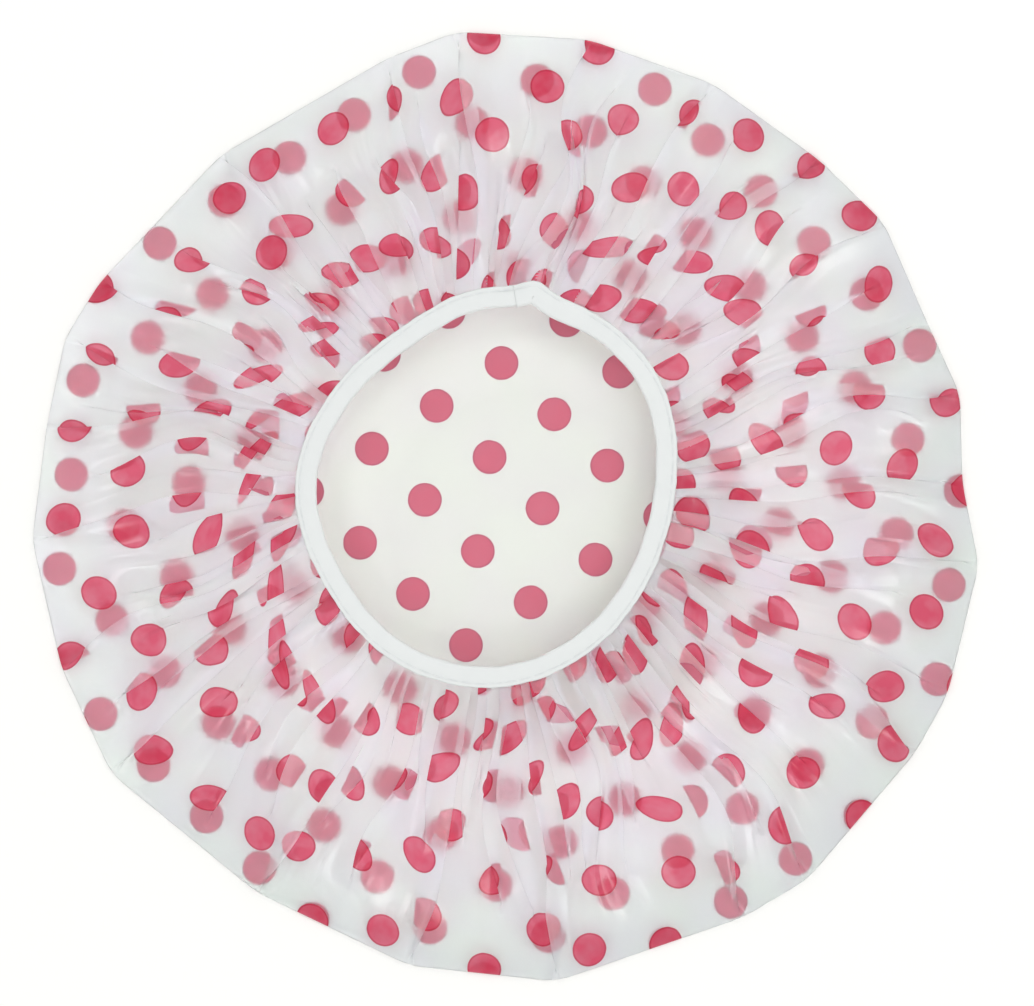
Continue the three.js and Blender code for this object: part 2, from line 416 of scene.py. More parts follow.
@dataclass(frozen=True)
class FilmFinish:
    """Clear film with a frosted look, with dots in ink on its outer face."""

    # Tints of the film's outer face, and of its inner face by distance from the disc's middle
    film: Color = (0.97, 0.935, 1.0, 1)
    film_light: Color = (0.99, 1.0, 1.0, 1)
    # The inner face is darker in the middle and from 90 to 136 mm out; its lift from 40 to 58 mm out is
    # painted light against the shade that the tape and the gathers throw inside the opening
    inner_face_tints_and_painted_light: tuple[tuple[float, Color], ...] = (
        (40 * MM, (0.675, 0.705, 0.65, 1)),
        (58 * MM, (0.8, 0.83, 0.775, 1)),
        (72 * MM, (1.0, 1.0, 1.0, 1)),
        (90 * MM, (0.84, 0.88, 0.88, 1)),
        (112 * MM, (0.69, 0.74, 0.72, 1)),
        (136 * MM, (0.75, 0.8, 0.78, 1)),
        (152 * MM, (0.975, 1.0, 1.0, 1)),
    )
    # The share of lamp light that passes straight on to what lies behind
    film_shade: Color = (0.15, 0.15, 0.15, 1)
    # Ink on the outer face, and as seen through the film from behind
    ink: Color = (0.765, 0.054, 0.123, 1)
    ink_light: Color = (0.78, 0.128, 0.21, 1)
    ink_edge: Color = (0.53, 0.014, 0.048, 1)
    ink_behind: Color = (0.725, 0.24, 0.33, 1)
    ink_edge_behind: Color = (0.61, 0.195, 0.29, 1)
    # How clear, rough and glossy the film and the ink are
    film_clear: float = 0.9
    ink_clear: float = 0.5
    roughness: float = 0.8
    ink_roughness: float = 0.5
    bending: float = 1.13
    coat: float = 0.5
    coat_roughness: float = 0.16
    # The dots on the flat disc: radius, two steps of their rows, edge, one dot's place, uneven edge
    dot_radius: float = 5 * MM
    dot_row: tuple[float, float] = (34.8 * MM, -2.5 * MM)
    dot_column: tuple[float, float] = (3.5 * MM, 27.8 * MM)
    dot_blur: float = 0.22 * MM
    dot_rim: float = 0.65 * MM
    dot_place: tuple[float, float] = (-4.7 * MM, 14.6 * MM)
    dot_wobble: float = 420.0
    # Added to the dots' numbers, so that none is below 0
    cells_below: int = 100
    # Creases run towards the middle of the gathered edge, so many to a radian and to a metre
    cut_centre: tuple[float, float] = (6.4 * MM, -6.6 * MM)
    creases_round: float = 42.0
    creases_along: float = 38.0
    crease_fade: tuple[float, float] = (150 * MM, 215 * MM)
    least_crease: float = 0.1
    crease_strength: float = 0.4
    crease_relief: float = 0.2 * MM
    # Fine grain, blotches in the ink, and slow changes between the two casts of the film
    grain_size: float = 0.5 * MM
    grain_stretch: float = 14.0
    grain_strength: float = 0.3
    grain_relief: float = 0.05 * MM
    blotch_range: tuple[float, float] = (0.38, 0.66)
    cast_grain: float = 2 * MM
    cast_stretch: float = 11.0
    cast_range: tuple[float, float] = (0.36, 0.62)

    def dots(self, graph: ShaderGraph, place: Any) -> tuple[Any, Any]:
        """Sets out round dots in staggered rows over the flat film.

        Args:
            graph: The material's graph.
            place: The place on the flat film, in metres.

        Returns:
            The mask of the ink, and the mask of the denser ink along each dot's edge.
        """
        moved = graph.vector("SUBTRACT", place, i1=(*self.dot_place, 0.0))
        steps = np.array([self.dot_row, self.dot_column])
        measures = np.linalg.inv(steps).T

        def centre_distance(stagger: float) -> Any:
            """Distance from the nearest dot's middle, in one of the two sets of rows."""
            parts = []
            for step, measure in zip(steps, measures):
                count = graph.vector("DOT_PRODUCT", moved, i1=(*measure, 0.0))
                cells = graph.math("ADD", count, self.cells_below + 0.5 + stagger)
                share = graph.math("SUBTRACT", graph.math("FRACT", cells), 0.5)
                parts.append(graph.vector("SCALE", (*step, 0.0), Scale=share))
            return graph.vector("LENGTH", graph.vector("ADD", parts[0], i1=parts[1]))

        nearest = graph.math("MINIMUM", centre_distance(0.0), centre_distance(0.5))
        wobble = graph.node("TexNoise", Vector=place, Scale=self.dot_wobble, Detail=2.0).outputs[0]
        edge = graph.math("MULTIPLY", graph.math("SUBTRACT", wobble, 0.5), self.dot_blur)
        reach = graph.math("ADD", nearest, edge)
        low, high = self.dot_radius - self.dot_blur / 2, self.dot_radius + self.dot_blur / 2
        ink = graph.between(reach, low, high, 1.0, 0.0)
        return ink, graph.between(reach, self.dot_radius - self.dot_rim, low, 0.0, 1.0)

    def creases(self, graph: ShaderGraph, place: Any) -> tuple[Any, Any]:
        """Fine creases that run towards the tape and fade out towards the rim.

        Args:
            graph: The material's graph.
            place: The place on the flat film, in metres.

        Returns:
            The creases' height, and the distance from the middle of the flat film.
        """
        moved = graph.vector("SUBTRACT", place, i1=(*self.cut_centre, 0.0))
        reach = graph.vector("LENGTH", moved)
        spread = graph.vector("SCALE", graph.vector("NORMALIZE", moved), Scale=self.creases_round)
        along = graph.node("CombineXYZ", Z=graph.math("MULTIPLY", reach, self.creases_along))
        both = graph.vector("ADD", spread, i1=along.outputs[0])
        kind = {"noise_type": "RIDGED_MULTIFRACTAL"}
        ridges = graph.node("TexNoise", kind, Vector=both, Scale=1.0, Detail=2.0).outputs[0]
        fade = graph.between(reach, *self.crease_fade, self.least_crease, 1.0)
        return graph.math("MULTIPLY", ridges, fade), reach

    def inner_face_tint_with_painted_light(self, graph: ShaderGraph, reach: Any) -> Any:
        """Tints the film's inner face by how far it is from the middle of the flat film, with painted
        light in its lift between 40 and 58 mm out.

        Args:
            graph: The material's graph.
            reach: The distance from the middle of the flat film, in metres.

        Returns:
            The tint's socket.
        """
        last = self.inner_face_tints_and_painted_light[-1][0]
        ramp = graph.node("ValToRGB", Fac=graph.math("DIVIDE", reach, last))
        stops = ramp.color_ramp.elements
        while len(stops) < len(self.inner_face_tints_and_painted_light):
            stops.new(0.5)
        for stop, (distance, tint) in zip(stops, self.inner_face_tints_and_painted_light):
            stop.position, stop.color = distance / last, tint
        return ramp.outputs["Color"]

    def material(self, grain: bpy.types.NodeTree) -> bpy.types.Material:
        """Builds the film's material.

        Args:
            grain: The fine grain group.

        Returns:
            The material.
        """
        material, graph = new_material("frosted film with dots")
        place = graph.node("UVMap", {"uv_map": PleatedFilm.flat_map}).outputs[0]
        ink, edge = self.dots(graph, place)
        behind = graph.node("NewGeometry").outputs["Backfacing"]
        surface = graph.group(grain, Place=place, Grain=self.grain_size, Stretch=self.grain_stretch)
        blotch = graph.between(surface["Variation"], *self.blotch_range, 0.0, 1.0)
        front = graph.mix(edge, graph.mix(blotch, self.ink, self.ink_light), self.ink_edge)
        back = graph.mix(edge, self.ink_behind, self.ink_edge_behind)
        bump = graph.node(
            "Bump",
            Height=surface["Height"],
            Strength=self.grain_strength,
            Distance=self.grain_relief,
        )
        ridges, reach = self.creases(graph, place)
        crease = graph.node(
            "Bump",
            Height=ridges,
            Strength=self.crease_strength,
            Distance=self.crease_relief,
            Normal=bump.outputs[0],
        )

        film = graph.node("BsdfPrincipled")
        # The inner face's tint holds painted light near the opening's edge
        inside = self.inner_face_tint_with_painted_light(graph, reach)
        slow = graph.group(grain, Place=place, Grain=self.cast_grain, Stretch=self.cast_stretch)
        cast = graph.between(slow["Variation"], *self.cast_range, 0.0, 1.0)
        outside = graph.mix(cast, self.film, self.film_light)
        graph.feed(film.inputs["Base Color"], graph.mix(behind, outside, inside))
        film.inputs["Transmission Weight"].default_value = self.film_clear
        film.inputs["Roughness"].default_value = self.roughness
        dot = graph.node("BsdfPrincipled")
        graph.feed(dot.inputs["Base Color"], graph.mix(behind, front, back))
        dot.inputs["Transmission Weight"].default_value = self.ink_clear
        dot.inputs["Roughness"].default_value = self.ink_roughness
        for shader in (film, dot):
            shader.inputs["IOR"].default_value = self.bending
            shader.inputs["Coat Weight"].default_value = self.coat
            shader.inputs["Coat Roughness"].default_value = self.coat_roughness
            graph.feed(shader.inputs["Normal"], crease.outputs[0])
        printed = graph.node("MixShader", i0=ink, i1=film.outputs[0], i2=dot.outputs[0])
        passing = graph.node("BsdfTransparent", Color=self.film_shade).outputs[0]
        shadow = graph.node("LightPath").outputs["Is Shadow Ray"]
        both = graph.node("MixShader", i0=shadow, i1=printed.outputs[0], i2=passing)
        graph.node("OutputMaterial", Surface=both.outputs[0])
        return material


@dataclass(frozen=True)
class TextileFinish:
    """A white textile, told from the others by its yarns, its grain and how rough it is."""

    name: str
    color: Color
    # The colour of painted shade in the hollows between yarns, also the darker end of the slow random tone
    hollow: Color
    roughness: float
    along: float
    across: float
    skew: float
    relief: float
    # What the textiles have in common
    sheen: float = 0.15
    grain_size: float = 0.15 * MM
    grain_stretch: float = 40.0
    grain_height: float = 0.3
    # How far the hollows between yarns darken, as painted shade
    hollow_share: float = 0.6
    cast_range: tuple[float, float] = (0.35, 0.7)
    cast_share: float = 0.5
    smoother: float = 0.08
    rougher: float = 0.1
    bump_strength: float = 0.6

    def material(self, grain: bpy.types.NodeTree, yarns: bpy.types.NodeTree) -> bpy.types.Material:
        """Builds the textile's material.

        Args:
            grain: The fine grain group.
            yarns: The yarn group.

        Returns:
            The material.
        """
        material, graph = new_material(self.name)
        place = graph.node("UVMap", {"uv_map": RingPiece.band_map}).outputs[0]
        sizes = {"Along": self.along, "Across": self.across, "Skew": self.skew}
        cloth = graph.group(yarns, Place=place, **sizes)
        surface = graph.group(grain, Place=place, Grain=self.grain_size, Stretch=self.grain_stretch)
        slow = graph.between(surface["Variation"], *self.cast_range, 0.0, self.cast_share)
        # Painted shade in the yarns' hollows and the slow random tone darken the colour, whichever is
        # stronger
        share = graph.math("MAXIMUM", graph.math("MULTIPLY", cloth["Hollow"], self.hollow_share), slow)
        shader = graph.node("BsdfPrincipled")
        graph.feed(shader.inputs["Base Color"], graph.mix(share, self.color, self.hollow))
        ends = (self.roughness - self.smoother, self.roughness + self.rougher)
        rough = graph.between(surface["Height"], *GRAIN_HEIGHTS, *ends)
        graph.feed(shader.inputs["Roughness"], rough)
        shader.inputs["Sheen Weight"].default_value = self.sheen
        grains = graph.math("MULTIPLY", surface["Height"], self.grain_height)
        height = graph.math("ADD", cloth["Height"], grains)
        bump = graph.node("Bump", Height=height, Strength=self.bump_strength, Distance=self.relief)
        graph.feed(shader.inputs["Normal"], bump.outputs[0])
        graph.node("OutputMaterial", Surface=shader.outputs[0])
        return material


def mesh_object(name: str, points: Array, faces: list[Any]) -> bpy.types.Object:
    """Makes a smooth-shaded mesh object at the origin.

    Args:
        name: The object's name.
        points: Vertex positions, in metres.
        faces: Vertex indices of each face.

    Returns:
        The object, linked to the scene.
    """
    mesh = bpy.data.meshes.new(name)
    mesh.from_pydata(points.tolist(), [], faces)
    mesh.update()
    mesh.polygons.foreach_set("use_smooth", np.ones(len(mesh.polygons), dtype=bool))
    piece = bpy.data.objects.new(name, mesh)
    bpy.context.collection.objects.link(piece)
    return piece


@dataclass
class PleatedFilm:
    """The disc of film, from the middle of its flat bottom to its gathered edge in the tape."""

    flat_map = "flat film"
    # A fold's turn, as shares: three steps round one edge, two back and three round the other edge
    turning = np.array([1, 3, 5, 6, 6, 5, 3, 1]) / 6

    plan: CapPlan
    # The disc, and how much of its edge the tape holds
    flat_radius: float = 222 * MM
    hem: float = 3.2 * MM
    tape_edge: float = 3.1 * MM
    # Spacing of the pleats, least width and edge length of their folds, and tries at each width
    pleat_pitch: float = math.radians(360 / 108)
    least_fold: float = 0.75 * MM
    fold_arc: float = 0.45 * MM
    fold_passes: int = 3
    # Heights of the sheet, at the rim, on the way and at the tape
    bottom_height: float = 0.06 * MM
    rim_height: float = 1.3 * MM
    rim_curl: float = 2.5 * MM
    rim_roll_share: float = 0.022
    fullness: float = 2.4
    hem_rise: float = 0.4 * MM
    free_rise: float = 4 * MM
    pressed_from: tuple[float, float] = (0.88, 0.99)
    # How the film between two folds bows, and the broad waves of the whole upper side
    bow: float = 1.0 * MM
    bow_starts: tuple[float, float] = (0.02, 0.3)
    bow_ends: tuple[float, float] = (0.75, 0.95)
    full_bow_run: float = 12 * MM
    swell: float = 1.0 * MM
    swell_power: float = 1.2
    # Each wave's count round the cap, its start, its turn on the way in, and its height
    swell_waves: tuple[tuple[float, float, float, float], ...] = ((3, 1, 2, 0.5), (7, 0, 4, 0.3))
    # The draw of the pleats: their places, starts, sides, softness, shares and bends
    stray: float = 0.28
    middle_starts: tuple[float, float] = (0.04, 0.3)
    small_starts: tuple[float, float] = (0.2, 0.8)
    turn_chance: float = 0.16
    turn_gap: float = 1.75
    gap_range: tuple[float, float] = (0.85, 1.15)
    softness_range: tuple[float, float] = (0.6, 1.0)
    extra_softness: float = 1.6
    softness_power: int = 4
    arch_spread: float = 0.6
    greed_spread: float = 0.5
    greed_limits: tuple[float, float] = (0.35, 2.2)
    turned_greed: float = 0.7
    bends: tuple[float, float] = (math.radians(2.0), math.radians(1.2))
    bend_stray: float = math.radians(0.5)
    bend_smoothing: int = 3
    # How a row's spare film is divided among the pleats, from the rim to the tape
    waking: float = 0.3
    neighbour_degrees: tuple[float, float] = (9, 3.5)
    evened_from: tuple[float, float] = (0.55, 0.95)
    softness_from: tuple[float, float] = (0.1, 0.5)
    rim_softness: float = 2.6
    rim_softness_ends: float = 0.2
    # Steps between two folds, rows from rim to tape, rows of the lower side, and rings of its disc
    forward_steps: int = 4
    rows: tuple[float, ...] = (
        0, 0.003, 0.01, 0.022, *np.linspace(0.045, 0.85, 44), *np.linspace(0.87, 1, 12),
    )
    bottom_rows: tuple[float, ...] = (14 * MM, 9 * MM, 5 * MM, 2.5 * MM, 1.2 * MM, 0.4 * MM)
    disc_shares: tuple[float, ...] = (0.93, 0.84, 0.7, 0.5, 0.25)
    least_ring: int = 8
    samples: int = 1440
    seed: int = 5

    def __post_init__(self) -> None:
        """Sets out the pleats and the sampled plan that every row is worked out from."""
        self.cut_centre = -self.plan.centre
        self.set_out_pleats()
        self.turned = np.arange(self.samples + 1) / self.samples * TURN

    def set_out_pleats(self) -> None:
        """Chooses each pleat's place, where it starts, which way it lies, its size and its softness."""
        draw = np.random.default_rng(self.seed)
        corners = self.plan.corner_angles
        places, starts = [], []
        for here, there in zip(corners, np.append(corners[1:], corners[0] + TURN)):
            count = max(1, round((there - here) / self.pleat_pitch))
            for step in range(count):
                stray = draw.uniform(-self.stray, self.stray) if step else 0
                places.append(here + (there - here) * (step + stray) / count)
                middle = step == (count + 1) // 2
                start = self.middle_starts if middle else self.small_starts
                starts.append(draw.uniform(*start) if step else 0.0)
        self.place = np.array(places)
        self.start = np.array(starts)
        count = len(places)
        lean = np.ones(count)
        for index in range(1, count):
            lean[index] = lean[index - 1] * (-1 if draw.random() < self.turn_chance else 1)
        self.lean = lean
        gaps = np.where(lean != np.roll(lean, -1), self.turn_gap, 1) * draw.uniform(*self.gap_range, count)
        ring = from_zero(gaps)[:-1] * (TURN / gaps.sum())
        self.ring_place = ring + np.mean(self.place - ring)
        self.softness = draw.uniform(*self.softness_range, count)
        self.softness += self.extra_softness * draw.uniform(0, 1, count) ** self.softness_power
        self.arch = draw.normal(0, self.arch_spread, count)
        turns = (lean != np.roll(lean, -1)) | (lean != np.roll(lean, 1))
        greed = np.clip(np.exp(draw.normal(0, self.greed_spread, count)), *self.greed_limits)
        self.greed = greed * np.where(turns, self.turned_greed, 1)
        waves = draw.normal(0, 1, (2, count))
        for _ in range(self.bend_smoothing):
            waves = (np.roll(waves, 1, axis=1) + 2 * waves + np.roll(waves, -1, axis=1)) / 4
        waves /= waves.std(axis=1, keepdims=True)
        self.bend = waves * np.array(self.bends)[:, None]
        self.bend += draw.normal(0, self.bend_stray, (2, count))

    def cut_point(self, angle: Array) -> Array:
        """Points on the flat film where it enters the tape.

        Args:
            angle: Angles about the opening's centre.

        Returns:
            One point for each angle, straight out from the rim's.
        """
        away = self.plan.rim_point(angle) - self.cut_centre
        away /= np.linalg.norm(away, axis=-1, keepdims=True)
        return self.cut_centre + away * (self.flat_radius - self.hem)

    def plan_row(self, share: float, angle: Array) -> Array:
        """Plan points of a row of the upper sheet, from 0 at the rim to 1 at the tape."""
        rim = self.plan.rim_point(angle)
        return rim + (self.plan.mouth_point(angle, self.tape_edge) - rim) * share

    def flat_row(self, share: float, angle: Array) -> Array:
        """The same row on the flat film."""
        rim = self.plan.rim_point(angle)
        return rim + (self.cut_point(angle) - rim) * share

    def pleat_depths(self, share: float, place: Array, excess: Array) -> Array:
        """Divides the film that must be taken up in a row among the pleats near it.

        Args:
            share: The row's place, from 0 at the rim to 1 at the tape.
            place: The pleats' angles in this row.
            excess: Film to take up at each sampled angle.

        Returns:
            Film taken up by each pleat.
        """
        awake = np.where(self.start > 0, smooth((share - self.start) / self.waking, 0, 1), 1.0)
        at_rim, at_tape = self.neighbour_degrees
        spread = math.radians(at_rim - (at_rim - at_tape) * float(smooth(share, 0, 1)))
        apart = angle_between(self.turned[None, :-1], place[:, None])
        weight = (awake * self.greed)[:, None] * np.exp(-((apart / spread) ** 2)) + 1e-12
        weight /= weight.sum(axis=0)
        depths = np.maximum(weight @ excess, 0)
        even = self.greed / self.greed.sum() * depths.sum()
        depths += (even - depths) * smooth(share, *self.evened_from)
        return depths * max(excess.sum(), 0) / max(depths.sum(), 1e-9)

    def fold_shape(self, share: float, depth: Array) -> tuple[Array, Array]:
        """Finds the width and the turning angle of the folds that take up some film.

        Args:
            share: The row's place, from 0 at the rim to 1 at the tape.
            depth: Film taken up by each pleat.

        Returns:
            The length of film that runs back in each pleat, and the angle that it turns through.
        """
        soft = self.least_fold * (1 + (self.softness - 1) * smooth(share, *self.softness_from))
        fade = smooth(share, 0, self.rim_softness_ends)
        soft = soft * (self.rim_softness - (self.rim_softness - 1) * fade)
        taken = depth
        for _ in range(self.fold_passes):
            width = np.sqrt(soft**2 + (taken / 2) ** 2)
            turn = np.arccos(np.clip(1 - taken / width, -1, 1))
            taken = np.maximum(depth - 2 * self.fold_arc * (1 - np.sinc(turn / math.pi)), 0)
        return width, turn

    def top_row(self, share: float) -> tuple[Array, Array]:
        """One row of the upper sheet, pleats and all.

        Args:
            share: The row's place, from 0 at the rim to 1 at the tape.

        Returns:
            Points in space, and the same points on the flat film.
        """
        plan_run = from_zero(arc_steps(self.plan_row(share, self.turned[:-1])))
        flat_run = from_zero(arc_steps(self.flat_row(share, self.turned[:-1])))
        place = self.place + (self.ring_place - self.place) * share
        place += self.bend[0] * math.sin(math.pi * share) ** 2
        place += self.bend[1] * math.sin(TURN * share) * math.sin(math.pi * share)
        depth = self.pleat_depths(share, place, np.diff(flat_run) - np.diff(plan_run))
        width, turn = self.fold_shape(share, depth)

        length = np.ones((len(width), len(self.turning))) * self.fold_arc / 3
        length[:, 3:5] = width[:, None] / 2
        onward = length * np.cos(turn[:, None] * self.turning)
        upward = length * np.sin(turn[:, None] * self.turning)
        height = upward.sum(axis=1)
        allowed = self.hem_rise + self.free_rise * (1 - smooth(share, *self.pressed_from))
        upward *= (self.lean * np.minimum(1, allowed / np.maximum(height, 1e-9)))[:, None]
        height = upward.sum(axis=1)

        middle = self.follow(place, self.turned, plan_run)
        first, last = middle - onward.sum(axis=1) / 2, middle + onward.sum(axis=1) / 2
        run = np.append(first[1:], first[0] + plan_run[-1]) - last
        drop = -np.append(height[1:], height[0]) / 2 - height / 2
        ahead = np.arange(1, self.forward_steps + 1) / self.forward_steps
        bow = self.bow * self.arch * smooth(share, *self.bow_starts) * (1 - smooth(share, *self.bow_ends))
        bow = bow * np.minimum(run / self.full_bow_run, 1)
        curve = drop[:, None] * smooth(ahead, 0, 1) + bow[:, None] * (4 * ahead * (1 - ahead)) ** 2
        rises = np.diff(np.concatenate([np.zeros((len(run), 1)), curve], axis=1), axis=1)
        level = np.repeat(run[:, None] / self.forward_steps, self.forward_steps, axis=1)

        across = np.concatenate([onward, level], axis=1)
        rising = np.concatenate([upward, rises], axis=1)
        film = np.concatenate([length, np.hypot(level, rises)], axis=1)
        along = first[0] + from_zero(across.ravel())[:-1]
        above = -height[0] / 2 + from_zero(rising.ravel())[:-1]
        used = from_zero(film.ravel())
        used = used[:-1] * flat_run[-1] / used[-1]
        seen = self.follow(along, plan_run, self.turned)
        used += np.mean(self.follow(seen, self.turned, flat_run) - used)
        cut = self.follow(used, flat_run, self.turned)
        rise = self.sheet_height(share, seen) + above
        return np.column_stack([self.plan_row(share, seen), rise]), self.flat_row(share, cut)

    @staticmethod
    def follow(value: Array, start: Array, goal: Array) -> Array:
        """Reads one running scale on another, past the end of a full turn as well."""
        turns = np.floor(value / start[-1])
        return np.interp(value - turns * start[-1], start, goal) + turns * goal[-1]

    def sheet_height(self, share: float, angle: Array) -> Array:
        """Height of the upper sheet's middle level above the surface.

        Args:
            share: The row's place, from 0 at the rim to 1 at the tape.
            angle: Angles about the opening's centre.

        Returns:
            One height for each angle.
        """
        rolled = min(1, share / self.rim_roll_share) ** 0.5
        rise = self.rim_height * (1 + rolled) / 2
        climb = (self.plan.mouth_height - self.rim_height) * (1 - (1 - share) ** self.fullness)
        swell = self.swell * math.sin(math.pi * share) ** self.swell_power
        waves = sum(
            high * np.sin(count * angle + start + drift * share)
            for count, start, drift, high in self.swell_waves
        )
        return rise + climb + swell * waves

    def lower_rows(self, rim: Array) -> list[tuple[Array, Array]]:
        """Rows of the lower side, from its flat part out to the rim.

        Args:
            rim: The rim's points on the flat film.

        Returns:
            For each row, its points in space and the same points on the flat film.
        """
        away = rim - self.cut_centre
        away /= np.linalg.norm(away, axis=1)[:, None]
        rows = []
        for inward in self.bottom_rows:
            flat = rim - away * inward
            curl = 1 - math.sqrt(max(0.0, 1 - (1 - min(1, inward / self.rim_curl)) ** 2))
            rise = self.bottom_height + (self.rim_height / 2 - self.bottom_height) * curl
            rows.append((np.column_stack([flat, np.full(len(flat), rise)]), flat))
        return rows

    def hem_row(self, edge: Array, edge_flat: Array) -> tuple[Array, Array]:
        """The film's cut edge, inside the tape.

        Args:
            edge: Points of the row that enters the tape.
            edge_flat: The same points on the flat film.

        Returns:
            Points in space, and the same points on the flat film.
        """
        tucked = (edge[:, :2] - self.plan.centre) * (1 - self.hem / self.plan.mouth_radius)
        past = (edge_flat - self.cut_centre) * (self.flat_radius / (self.flat_radius - self.hem))
        return np.column_stack([tucked + self.plan.centre, edge[:, 2]]), past + self.cut_centre

    def fill_disc(self, points: list[Array], flats: list[Array], faces: list[Any]) -> None:
        """Fills the lower side inside its first row, with rings of ever fewer points.

        Args:
            points: Points of the rows, to which those of the rings are added.
            flats: The same points on the flat film, also added to.
            faces: Faces between the rows, also added to.
        """
        bottom = flats[0]
        count = len(bottom)
        total = len(points) * count
        ring = list(range(count))
        index = np.arange(count + 1)
        looped = np.append(bottom, bottom[:1], axis=0)
        for reach in self.disc_shares:
            size = max(self.least_ring, len(ring) // 2)
            place = np.linspace(0, count, size, endpoint=False)
            flat = np.stack([np.interp(place, index, looped[:, i]) for i in (0, 1)], axis=1) * reach
            points.append(np.column_stack([flat, np.full(size, self.bottom_height)]))
            flats.append(flat)
            inner = list(range(total, total + size))
            outside = len(ring)
            for i in range(size):
                low, high = i * outside // size, (i + 1) * outside // size
                near, far = inner[i], inner[(i + 1) % size]
                half = (low + high + 1) // 2
                for j in range(low, high):
                    faces.append([near if j < half else far, ring[(j + 1) % outside], ring[j]])
                faces.append([near, far, ring[half % outside]])
            ring, total = inner, total + size
        points.append(np.array([[0, 0, self.bottom_height]]))
        flats.append(np.zeros((1, 2)))
        faces += [[total, ring[(i + 1) % len(ring)], ring[i]] for i in range(len(ring))]

    def build(self) -> bpy.types.Object:
        """Builds the film as one sheet, with its flat shape in a UV map.

        Returns:
            The film.
        """
        top = [self.top_row(share) for share in self.rows]
        rows = [*self.lower_rows(top[0][1]), *top, self.hem_row(*top[-1])]
        points = [row[0] for row in rows]
        flats = [row[1] for row in rows]
        count = len(points[0])
        grid = np.arange(len(rows) * count).reshape(len(rows), count)
        onward = np.roll(grid, -1, axis=1)
        faces = np.stack([grid[:-1], onward[:-1], onward[1:], grid[1:]], axis=-1).reshape(-1, 4).tolist()
        self.fill_disc(points, flats, faces)

        placed = np.concatenate(points)
        placed[:, :2] += self.plan.shift
        film = mesh_object("crown_of_film", placed, faces)
        layer = film.data.uv_layers.new(name=self.flat_map)
        corner = np.empty(len(film.data.loops), dtype=np.int32)
        film.data.loops.foreach_get("vertex_index", corner)
        flat_places = (np.concatenate(flats) + self.plan.shift)[corner]
        layer.data.foreach_set("uv", flat_places.astype("f").ravel())
        return film

    def dress(
        self, film: bpy.types.Object, material: bpy.types.Material, sewn_on: list[bpy.types.Object]
    ) -> None:
        """Gives the film its material and its place in the frame.

        Args:
            film: The film.
            material: Its material.
            sewn_on: The pieces along its edge; not used.
        """
        film.data.materials.append(material)
        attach(film, "root")
        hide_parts("crown_film")


WHITE_TAPE = TextileFinish(
    name="white satin tape",
    color=(0.785, 0.81, 0.8, 1),
    hollow=(0.75, 0.775, 0.77, 1),
    roughness=0.5,
    along=0.9 * MM,
    across=0.16 * MM,
    skew=0.0,
    relief=0.02 * MM,
)
KNITTED_ELASTIC = TextileFinish(
    name="knitted elastic",
    color=(0.86, 0.855, 0.82, 1),
    hollow=(0.7, 0.7, 0.67, 1),
    roughness=0.75,
    along=0.5 * MM,
    across=0.39 * MM,
    skew=0.35,
    relief=0.05 * MM,
)
SEWING_THREAD = TextileFinish(
    name="white sewing thread",
    color=(0.84, 0.86, 0.86, 1),
    hollow=(0.6, 0.64, 0.65, 1),
    roughness=0.6,
    along=2 * MM,
    across=0.16 * MM,
    skew=0.8,
    relief=0.03 * MM,
)


@dataclass
class RingPiece:
    """Something sewn or held along the opening, made as sections set out along the tape."""

    band_map = "along and across"

    plan: CapPlan

    def loft(
        self, name: str, angles: Array, sections: Array, around: Array, closed: bool
    ) -> bpy.types.Object:
        """Skins a row of sections.

        Args:
            name: The piece's name.
            angles: Angle of each section about the opening's centre.
            sections: Outward and upward distances, one row of points for each section.
            around: Length round the section up to each of its points, and back to the first.
            closed: Whether the last section joins the first one.

        Returns:
            The piece, with a UV map in metres along and across it.
        """
        count, points = sections.shape[:2]
        placed = np.empty((count, points, 3))
        turned = np.repeat(angles[:, None], points, axis=1)
        placed[..., :2] = self.plan.mouth_point(turned, sections[..., 0]) + self.plan.shift
        placed[..., 2] = self.plan.mouth_height + sections[..., 1]
        run = np.linalg.norm(np.diff(placed[:, 0], axis=0, append=placed[:1, 0]), axis=1)
        along = from_zero(run)
        faces, places = [], []
        for i in range(count if closed else count - 1):
            here, there = i * points, (i + 1) % count * points
            for j in range(points):
                k = (j + 1) % points
                faces.append((here + j, there + j, there + k, here + k))
                low, high = around[j], around[j + 1]
                places += [(along[i], low), (along[i + 1], low), (along[i + 1], high), (along[i], high)]
        if not closed:
            first, last = tuple(range(points)), tuple(range((count - 1) * points, count * points))
            for cap, face in ((0, first), (count - 1, last[::-1])):
                faces.append(face)
                places += [(along[cap], around[j % points]) for j in face]
        piece = mesh_object(name, placed.reshape(-1, 3), faces)
        layer = piece.data.uv_layers.new(name=self.band_map)
        layer.data.foreach_set("uv", np.array(places, dtype="f").ravel())
        return piece

    @staticmethod
    def girth(section: Array) -> Array:
        """Length round one section up to each of its points, and back to the first."""
        return from_zero(arc_steps(section))

    def dress(self, piece: bpy.types.Object, material: bpy.types.Material, node: str, slot: str) -> None:
        """Gives a piece its material and its place in the frame.

        Args:
            piece: The piece.
            material: Its material.
            node: The CAD node that it stands for.
            slot: The name of the record's material slot for it; not used.
        """
        piece.data.materials.append(material)
        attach(piece, "root")
        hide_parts(node)


@dataclass
class StitchLine:
    """Where the lockstitch runs, and how it pulls the tape in."""

    pitch: float = 4 * MM
    inset: float = 1.3 * MM
    dip: float = 0.08 * MM
    pull: float = 0.12 * MM
    reach: float = 0.75 * MM
    hole_sharpness: int = 6

    def count(self, radius: float) -> int:
        """Number of stitches round a ring of this radius."""
        return round(TURN * radius / self.pitch)

    def holes(self, turned: Array, radius: float) -> Array:
        """How near a needle hole each place is, from 0 to 1, by its angle from the first hole."""
        return (np.cos(turned * self.count(radius)) * 0.5 + 0.5) ** self.hole_sharpness


